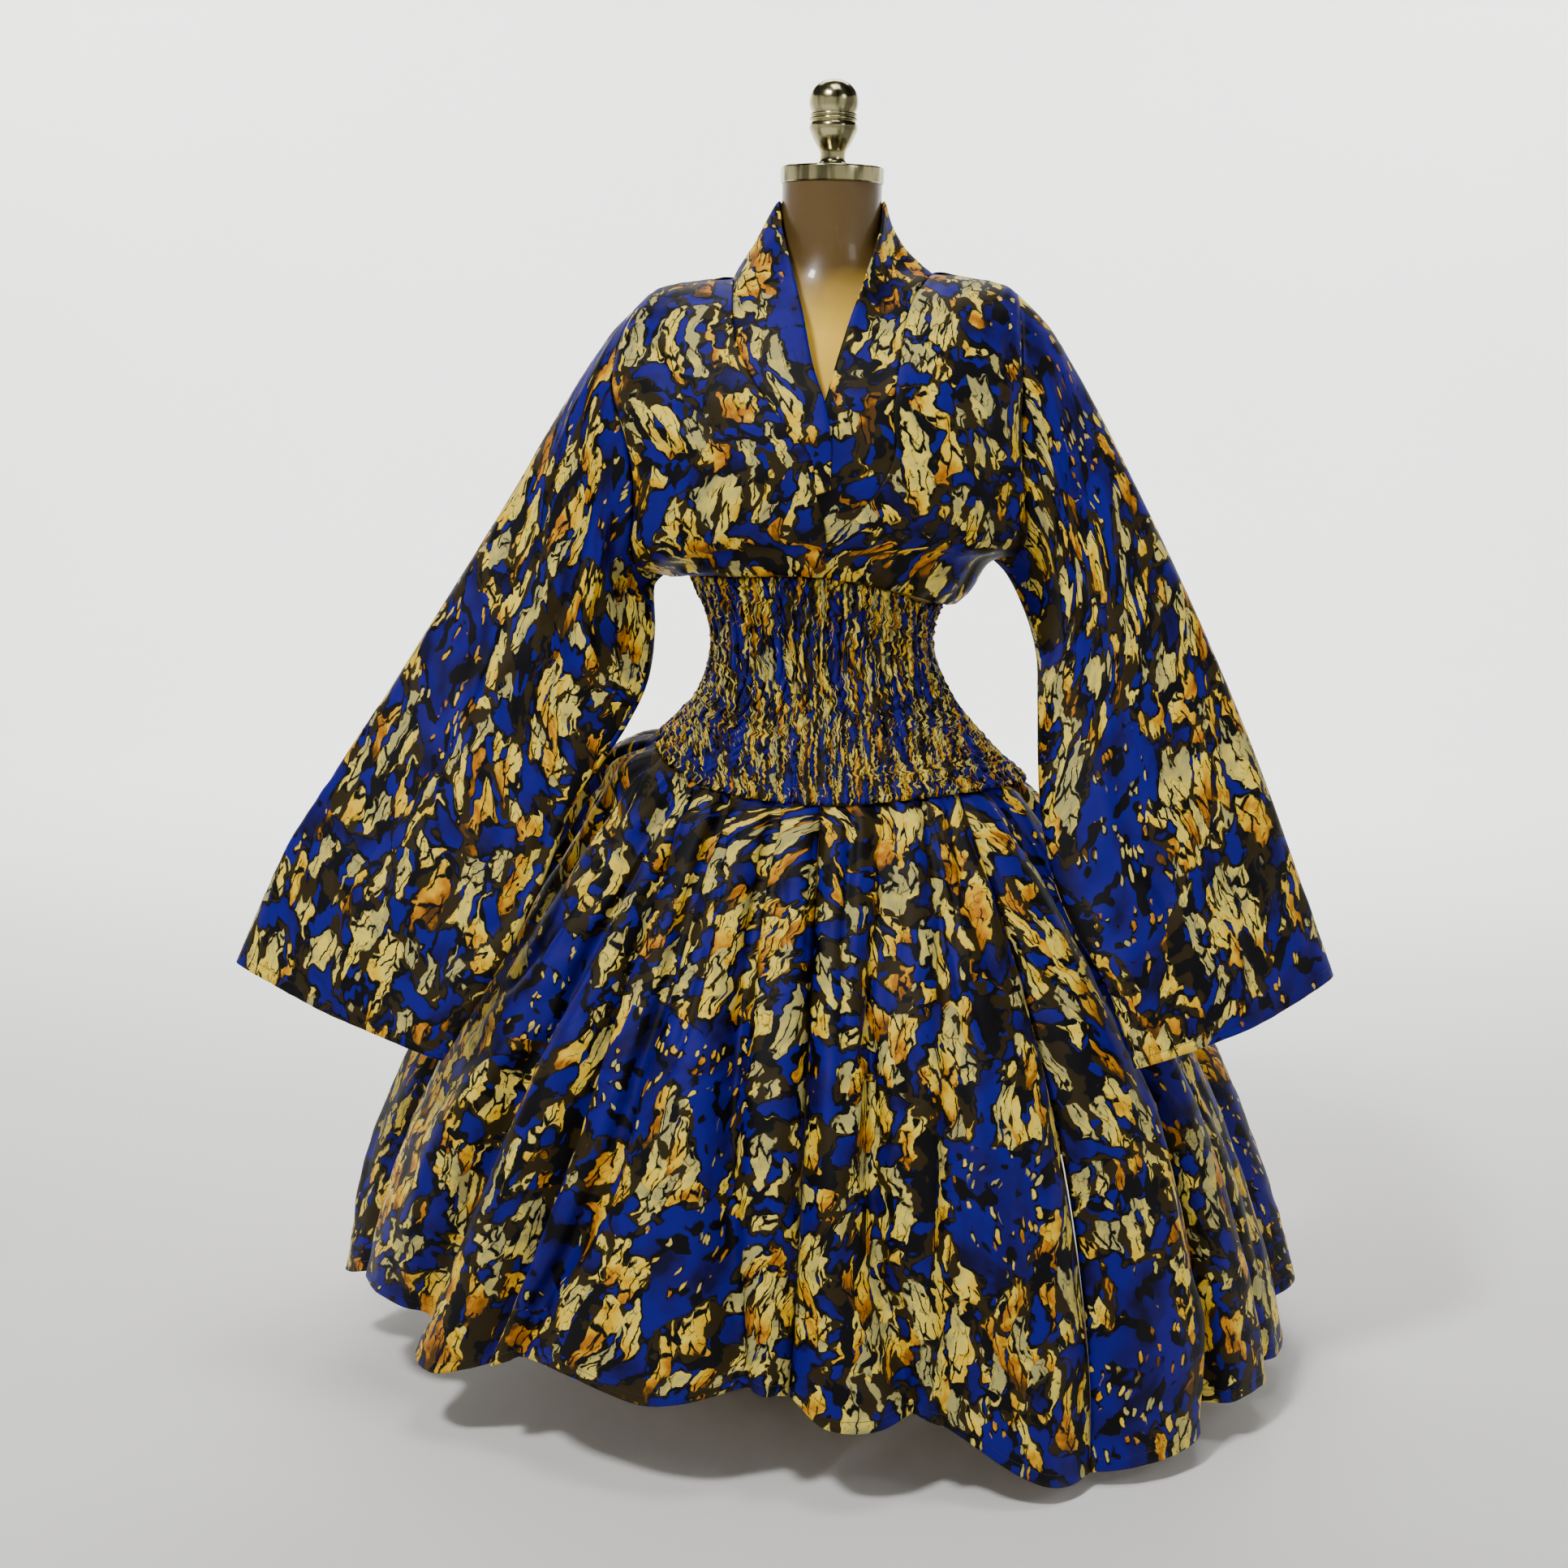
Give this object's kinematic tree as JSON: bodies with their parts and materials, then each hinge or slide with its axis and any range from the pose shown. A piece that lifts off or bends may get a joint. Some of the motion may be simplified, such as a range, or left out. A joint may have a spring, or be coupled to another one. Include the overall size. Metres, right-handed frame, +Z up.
{
  "type": "ankara kimono dress on dress form",
  "caption": "Wax-print cotton kimono dress with wide sleeves, neckband, shirred waist and full folded skirt, on a limbless dress form with pole and round base.",
  "frame": {"origin": "centre of the base's underside, on the floor", "axes": "+Z up, the wearer's front towards -Y, the wearer's left towards +X"},
  "size_m": [1.0955, 0.8145, 1.2948],
  "materials": {
    "printed_cotton": "crisp wax-print cotton with a slight sheen",
    "moulded_torso": "glossy moulded shell, amber brown",
    "polished_brass": "polished",
    "stand_paint": "satin black"
  },
  "bodies": {
    "root": {"bodice_right_front": "printed_cotton", "bodice_left_front": "printed_cotton", "bodice_back": "printed_cotton", "neckband_right": "printed_cotton", "neckband_left": "printed_cotton", "sleeve_right_front": "printed_cotton", "sleeve_right_back": "printed_cotton", "sleeve_left_front": "printed_cotton", "sleeve_left_back": "printed_cotton", "waist_front": "printed_cotton", "waist_back": "printed_cotton", "skirt_right_front": "printed_cotton", "skirt_centre_left_front": "printed_cotton", "skirt_left_side_front": "printed_cotton", "skirt_left_back": "printed_cotton", "skirt_right_back": "printed_cotton", "form_torso": "moulded_torso", "form_neck_cap": "polished_brass", "form_finial": "polished_brass", "stand_pole": "stand_paint", "stand_base": "stand_paint"}
  },
  "joints": []
}
